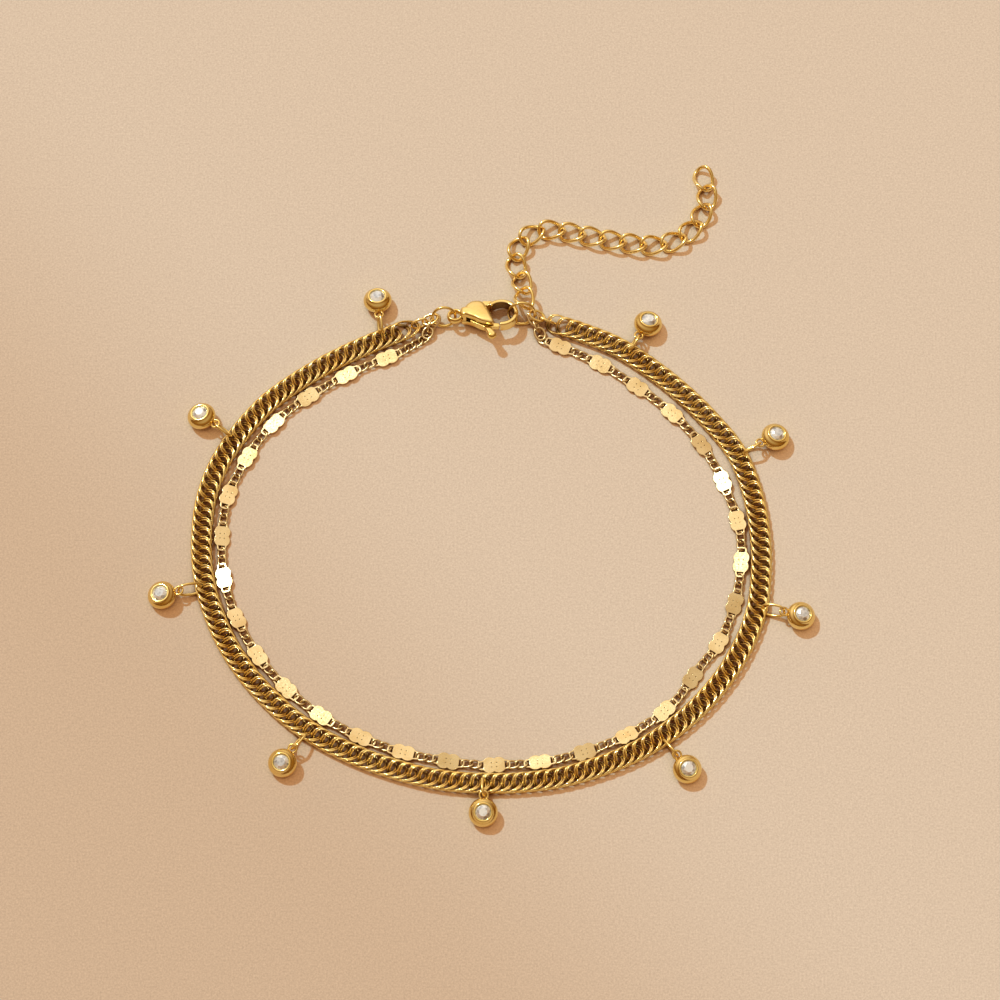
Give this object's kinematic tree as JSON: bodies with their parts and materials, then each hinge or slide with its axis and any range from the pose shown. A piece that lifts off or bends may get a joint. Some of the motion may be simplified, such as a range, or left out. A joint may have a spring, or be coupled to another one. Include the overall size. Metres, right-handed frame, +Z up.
{
  "type": "charm anklet",
  "caption": "Double-layer anklet: a wide curb chain and a finer plate chain on one lobster clasp, with bezel-set clear stones on jump rings and a curb-link extender.",
  "frame": {"origin": "on the surface that the anklet lies on, under the middle of the whole object's box", "axes": "+X from the clasp to the end ring, +Y across the loop towards the extender, +Z up"},
  "size_m": [0.0806, 0.0876, 0.0033],
  "materials": {
    "main_chain_gold": "polished",
    "plate_chain_gold": "polished",
    "bezel_gold": "polished",
    "ring_gold": "polished",
    "clasp_gold": "polished",
    "extender_gold": "polished",
    "clear_stone": "faceted, polished"
  },
  "bodies": {
    "root": {"main_chain": "main_chain_gold", "plate_chain": "plate_chain_gold", "charm_bezel_1": "bezel_gold", "charm_stone_1": "clear_stone", "charm_ring_1": "ring_gold", "charm_bezel_2": "bezel_gold", "charm_stone_2": "clear_stone", "charm_ring_2": "ring_gold", "charm_bezel_3": "bezel_gold", "charm_stone_3": "clear_stone", "charm_ring_3": "ring_gold", "charm_bezel_4": "bezel_gold", "charm_stone_4": "clear_stone", "charm_ring_4": "ring_gold", "charm_bezel_5": "bezel_gold", "charm_stone_5": "clear_stone", "charm_ring_5": "ring_gold", "charm_bezel_6": "bezel_gold", "charm_stone_6": "clear_stone", "charm_ring_6": "ring_gold", "charm_bezel_7": "bezel_gold", "charm_stone_7": "clear_stone", "charm_ring_7": "ring_gold", "charm_bezel_8": "bezel_gold", "charm_stone_8": "clear_stone", "charm_ring_8": "ring_gold", "charm_bezel_9": "bezel_gold", "charm_stone_9": "clear_stone", "charm_ring_9": "ring_gold", "clasp_body": "clasp_gold", "clasp_ring": "ring_gold", "end_ring": "ring_gold", "extender_link_01": "extender_gold", "extender_link_02": "extender_gold", "extender_link_03": "extender_gold", "extender_link_04": "extender_gold", "extender_link_05": "extender_gold", "extender_link_06": "extender_gold", "extender_link_07": "extender_gold", "extender_link_08": "extender_gold", "extender_link_09": "extender_gold", "extender_link_10": "extender_gold", "extender_link_11": "extender_gold", "extender_link_12": "extender_gold", "extender_link_13": "extender_gold", "extender_link_14": "extender_gold", "extender_link_15": "extender_gold", "extender_link_16": "extender_gold"},
    "lever": {"clasp_lever": "clasp_gold"}
  },
  "joints": [
    {"name": "lever_hinge", "type": "hinge", "parent": "root", "child": "lever", "pos_m": [-0.00027, 0.02327, 0.00139], "axis": [0.0168, -0.2751, -0.9613], "range_deg": [0, 18], "stiffness_Nm_per_rad": 0.002}
  ]
}
